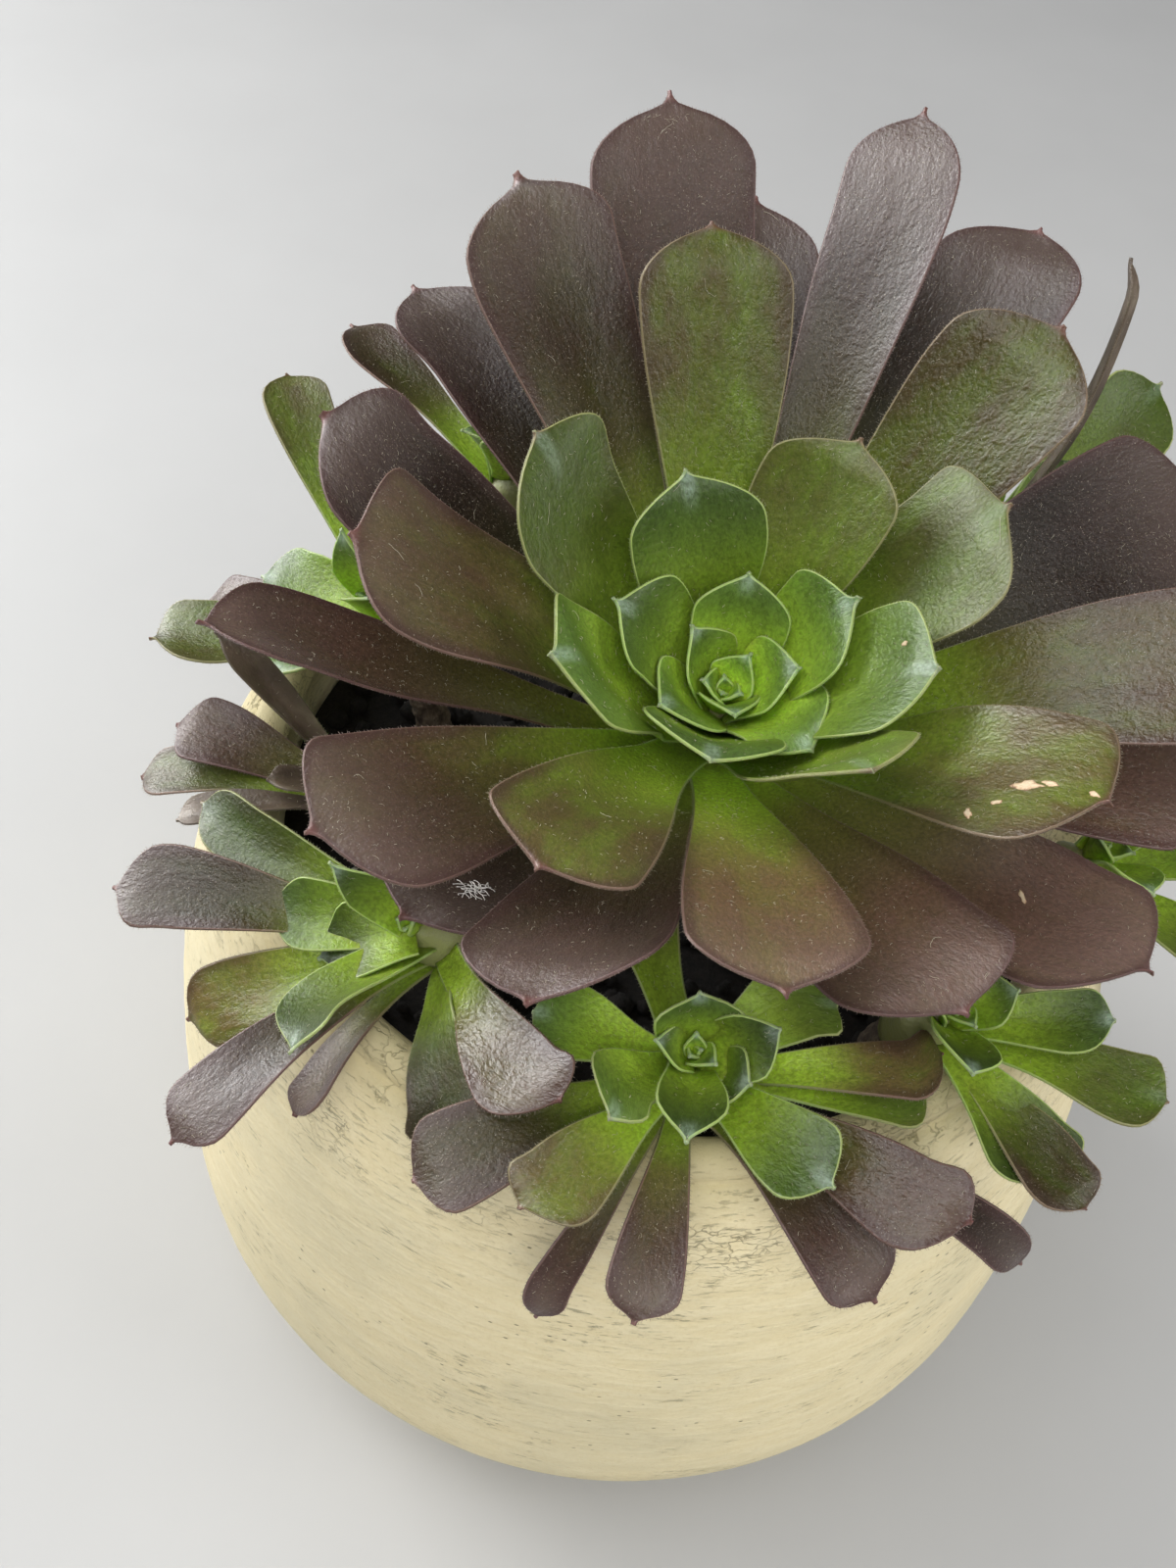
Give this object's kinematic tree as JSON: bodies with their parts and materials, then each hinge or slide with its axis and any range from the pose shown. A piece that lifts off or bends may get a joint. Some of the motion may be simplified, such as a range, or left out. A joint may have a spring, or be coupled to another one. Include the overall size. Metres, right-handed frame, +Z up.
{
  "type": "potted aeonium",
  "caption": "Aeonium with a large rosette of spoon-shaped leaves and smaller rosettes round it, in a round cream ceramic pot of soil.",
  "frame": {"origin": "centre of the pot's foot, on the surface that it stands on", "axes": "+Z up out of the pot's mouth, -Y towards the plant's front, which the large rosette leans to, +X to the right"},
  "size_m": [0.2561, 0.2576, 0.2996],
  "materials": {
    "pot": "matt cream limewash",
    "soil": "dark potting soil",
    "stem": "rough grey-brown bark with leaf scars",
    "leaf": "satin, green in the heart and purple-brown outside"
  },
  "bodies": {
    "root": {"pot": "pot", "soil": "soil", "stem_main": "stem", "stem_front": "stem", "stem_left": "stem", "stem_left_upper": "stem", "stem_withered": "stem", "stem_right": "stem", "stem_far_right": "stem", "stem_back_right": "stem", "stem_back_left": "stem", "stem_back": "stem", "rosette_main": "leaf", "rosette_front": "leaf", "rosette_left": "leaf", "rosette_left_upper": "leaf", "rosette_withered": "leaf", "rosette_right": "leaf", "rosette_far_right": "leaf", "rosette_back_right": "leaf", "rosette_back_left": "leaf", "rosette_back": "leaf"}
  },
  "joints": []
}
